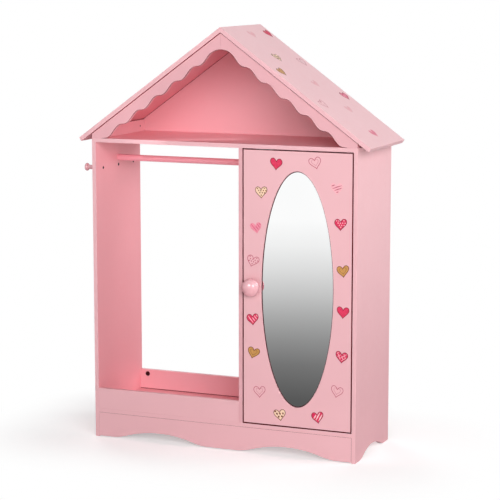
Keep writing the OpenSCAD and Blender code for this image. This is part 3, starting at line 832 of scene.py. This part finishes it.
# Door: (x, z, style, tilt), millimetres and degrees
DOOR_HEARTS = [
    (168.4, 842.2, "hot", -6), (123.1, 760.6, "gold_dots", 3),
    (107.2, 658.2, "rose", 9), (98.0, 562.7, "pale_dots", -14),
    (97.1, 394.5, "hot_scribble", 8), (100.1, 297.1, "gold", -12),
    (118.5, 184.9, "pale", 3), (180.9, 122.5, "leopard", 8), (284.5, 849.5, "pale", 13),
    (348.8, 780.4, "pale_bars", 0), (360.9, 681.1, "hot_dots", 3), (368.8, 550.2, "gold", 10),
    (370.0, 433.6, "hot", -3), (367.1, 305.9, "hot_hatch", -8), (353.8, 205.6, "pale", -12),
    (295.8, 125.8, "hot_stripes", 12),
]
door_print = Print()
for number, (x, z, style, tilt) in enumerate(DOOR_HEARTS):
    place = (
        Matrix.Translation((x * MM, door_front, z * MM))
        @ Matrix.Rotation(math.pi / 2, 4, "X")
        @ Matrix.Rotation(math.radians(tilt), 4, "Z")
    )
    print_heart(door_print, place, style, DOOR_HEART, DOOR_SEED + number)
door_print.build("door_print", "door")

# A dark ring on the glass just inside the lip: painted shade for the lip's shadow and its dark
# reflection
glass_low, glass_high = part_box("mirror_glass")
oval = (glass_low + glass_high) / 2


def ellipse(rx, ry, steps=144):
    return [
        Vector((rx * math.cos(a), ry * math.sin(a)))
        for a in (2 * math.pi * i / steps for i in range(steps))
    ]


# Half axes of the oval that the lip leaves free, and the width of the dark ring of painted
# shade
LIP_RX, LIP_RZ, RIM = 108.95 * MM, 337.95 * MM, 2.7 * MM
rim = Print()
rim.prism(
    "rim", [ellipse(LIP_RX, LIP_RZ), ellipse(LIP_RX - RIM, LIP_RZ - RIM)],
    Matrix.Translation((oval.x, glass_low.y, oval.z)) @ Matrix.Rotation(math.pi / 2, 4, "X"),
    LINE_H,
)
rim.build("mirror", "door")

# Roof: (share of the slope from the ridge, y, style, tilt)
ROOF_HEARTS = [
    (0.078, 119.3, "hot", 4), (0.267, -23.4, "leopard", -8),
    (0.374, -110.4, "gold", 6), (0.323, 110.6, "pale_fill", -5),
    (0.495, 15.7, "faint", 8), (0.617, 111.6, "rose_plain", -6),
    (0.642, -99.9, "pale", 10), (0.713, 26.2, "faint", -4), (0.904, -8.1, "rose", 6),
    (0.073, 2.5, "faint", -10),
]
low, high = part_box("right_roof_panel")
tip = Vector((high.x, 0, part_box("attic_shelf")[1].z))
ridge = Vector((0, 0, high.z))
slope = tip - ridge
for side, prefix in ((1, "roof_print_right"), (-1, "roof_print_left")):
    roof_print = Print()
    for number, (share, y, style, tilt) in enumerate(ROOF_HEARTS):
        at = ridge + slope * share
        up = -slope.normalized()
        out = -Vector((slope.z, 0, -slope.x)).normalized()
        if side < 0:
            at.x, up.x, out.x = -at.x, -up.x, -out.x
        across = up.cross(out)
        place = Matrix((
            (across.x, up.x, out.x, at.x),
            (across.y, up.y, out.y, at.y + side * y * MM),
            (across.z, up.z, out.z, at.z),
            (0, 0, 0, 1),
        )) @ Matrix.Rotation(math.radians(tilt), 4, "Z")
        print_heart(roof_print, place, style, ROOF_HEART, ROOF_SEED + number)
    roof_print.build(prefix, "cabinet")


# Studio: floor, light and camera ---------------------------------------------------

WHITE = (1, 1, 1, 1)
PAPER, PAPER_LIFT = 0.80, 0.40      # the floor's own grey, and what the camera sees on top
FOOTPRINT = (0.41, 0.15, 0)         # half the object's width and depth on the floor
PALING = (0.03, 0.42)               # the paper goes to white between these gaps
WORLD_LIGHT = 0.03
# Painted reflection: for glossy rays the floor glows in a grey ramp, dark near the unit and
# white further off, which the mirror shows: metres, grey
MIRRORED = [
    (0.0, 0.057), (0.79, 0.101), (1.30, 0.183), (1.71, 0.284), (2.17, 0.415),
    (2.70, 0.583), (3.32, 0.747), (4.05, 0.90), (4.94, 1.0),
]
MIRRORED_FAR = 5.2                  # the colour ramp's whole length


class Wiring:
    """The emptied node tree of a material or world."""

    def __init__(self, owner):
        owner.use_nodes = True
        self.tree = owner.node_tree
        self.tree.nodes.clear()

    def node(self, kind, operation=None, **values):
        node = self.tree.nodes.new(kind)
        if operation:
            node.operation = operation
        for key, value in values.items():
            node.inputs[key.replace("_", " ")].default_value = value
        return node

    def joined(self, kind, operation, *sources):
        """The outputs of a new node whose first inputs are these sockets or values."""
        node = self.node(kind, operation)
        for socket, source in zip(node.inputs, sources):
            if isinstance(source, bpy.types.NodeSocket):
                self.tree.links.new(source, socket)
            else:
                socket.default_value = source
        return node.outputs


bpy.ops.mesh.primitive_plane_add(size=400, location=(0, 0, 0))
floor = bpy.context.object
floor.name = "studio_floor"
paper_material = bpy.data.materials.new("studio_floor")
floor.data.materials.append(paper_material)
w = Wiring(paper_material)
paths = w.node("ShaderNodeLightPath").outputs
position = w.node("ShaderNodeNewGeometry").outputs["Position"]
paper = w.node("ShaderNodeBsdfDiffuse", Color=(PAPER, PAPER, PAPER, 1)).outputs[0]
lift = w.node("ShaderNodeEmission", Color=WHITE, Strength=PAPER_LIFT).outputs[0]
blank = w.node("ShaderNodeEmission", Color=WHITE, Strength=1.0).outputs[0]
lifted = w.joined("ShaderNodeAddShader", None, paper, lift)[0]

# The camera sees the paper run out to plain white a short way from the footprint
gap = w.joined("ShaderNodeVectorMath", "ABSOLUTE", position)["Vector"]
gap = w.joined("ShaderNodeVectorMath", "SUBTRACT", gap, FOOTPRINT)["Vector"]
gap = w.joined("ShaderNodeVectorMath", "MAXIMUM", gap, (0, 0, 0))["Vector"]
gap = w.joined("ShaderNodeVectorMath", "LENGTH", gap)["Value"]
beyond = w.node("ShaderNodeMapRange", From_Min=PALING[0], From_Max=PALING[1])
beyond.interpolation_type = "SMOOTHSTEP"
w.tree.links.new(gap, beyond.inputs["Value"])
paling = w.joined("ShaderNodeMixShader", None, beyond.outputs["Result"], lifted, blank)[0]
seen = w.joined("ShaderNodeMixShader", None, paths["Is Camera Ray"], paper, paling)[0]

# Glossy rays see the floor glow in that grey ramp: a painted reflection
away = w.joined("ShaderNodeVectorMath", "LENGTH", position)["Value"]
share = w.joined("ShaderNodeMath", "DIVIDE", away, MIRRORED_FAR)[0]
fade = w.node("ShaderNodeValToRGB")
ramp = fade.color_ramp
while len(ramp.elements) < len(MIRRORED):
    ramp.elements.new(0.5)
for element, (distance, grey) in zip(ramp.elements, MIRRORED):
    element.position = distance / MIRRORED_FAR
    element.color = (grey, grey, grey, 1)
w.tree.links.new(share, fade.inputs["Fac"])
mirrored = w.joined("ShaderNodeEmission", None, fade.outputs["Color"], 1.0)[0]
whole = w.joined("ShaderNodeMixShader", None, paths["Is Glossy Ray"], seen, mirrored)[0]
w.joined("ShaderNodeOutputMaterial", None, whole)

# The world lights faintly, and shows as white directly, in metal and through glass
world = bpy.data.worlds.new("studio")
bpy.context.scene.world = world
w = Wiring(world)
paths = w.node("ShaderNodeLightPath").outputs
light = w.node("ShaderNodeBackground", Color=WHITE, Strength=WORLD_LIGHT).outputs[0]
white = w.node("ShaderNodeBackground", Color=WHITE, Strength=1.0).outputs[0]
shown = w.joined("ShaderNodeMath", "MAXIMUM", paths["Is Camera Ray"], paths["Is Glossy Ray"])[0]
shown = w.joined("ShaderNodeMath", "MAXIMUM", shown, paths["Is Transmission Ray"])[0]
both = w.joined("ShaderNodeMixShader", None, shown, light, white)[0]
w.joined("ShaderNodeOutputWorld", None, both)


def softbox(name, location, target, size, power):
    """An area light that the camera doesn't see; a spark gives highlights only."""
    spark = name.startswith("spark")
    data = bpy.data.lights.new(name, "AREA")
    data.shape = "RECTANGLE"
    data.size, data.size_y = size
    data.energy = power
    ob = bpy.data.objects.new(name, data)
    ob.location = location
    ob.visible_camera = False
    ob.visible_glossy = spark
    ob.visible_diffuse = not spark
    ob.rotation_euler = (Vector(target) - Vector(location)).to_track_quat("-Z", "Y").to_euler()
    bpy.context.scene.collection.objects.link(ob)
    return ob


# name, degrees to the right of the front, degrees up, distance and size in metres, watts
LIGHTS = [
    ("front_key", 38, 18, 6.5, 3.2, 226),
    ("front_soft", 14, 17, 6.5, 2.6, 96),
    ("front_low", 60, 12, 6.5, 2.6, 54),
    ("right_fill", 106, 27, 6.5, 2.6, 132),
    ("left_fill", -20, 8, 6.5, 2.6, 34),
    ("spark_left", -9, 21, 6.5, 2.3, 120),
    ("spark_middle", 37, 21, 6.5, 2.3, 120),
    ("spark_right", 94, 27, 6.5, 1.6, 70),
    ("left_back", -138, 9, 6.5, 3.2, 270),
]
AIM = Vector((0, 0, 0.65))
# A strip inside the attic: location, target, size, watts
ATTIC_FILL = ((-0.12, -0.125, 0.92), (-0.27, 0.14, 0.93), (0.34, 0.03), 0.072)
for name, right, up, away, size, power in LIGHTS:
    a, e = math.radians(right), math.radians(up)
    towards = Vector((math.sin(a) * math.cos(e), -math.cos(a) * math.cos(e), math.sin(e)))
    softbox(name, AIM + away * towards, AIM, (size, size), power)
softbox("attic_fill", *ATTIC_FILL)

# The camera fitted to the photograph: metres, degrees, pixels
CAMERA_AT = (2.0261, -4.8210, 1.3798)
CAMERA_YAW, CAMERA_PITCH = 22.513, 8.851
FOCAL_PX, FRAME_PX = 1805.4, 500
camera = bpy.data.objects.new("camera", bpy.data.cameras.new("camera"))
camera.data.sensor_width = 36
camera.data.lens = FOCAL_PX / FRAME_PX * camera.data.sensor_width
camera.data.clip_start, camera.data.clip_end = 0.1, 600
camera.location = CAMERA_AT
camera.rotation_euler = (math.radians(90 - CAMERA_PITCH), 0, math.radians(CAMERA_YAW))
bpy.context.scene.collection.objects.link(camera)
bpy.context.scene.camera = camera
bpy.context.scene.view_settings.view_transform = "Standard"
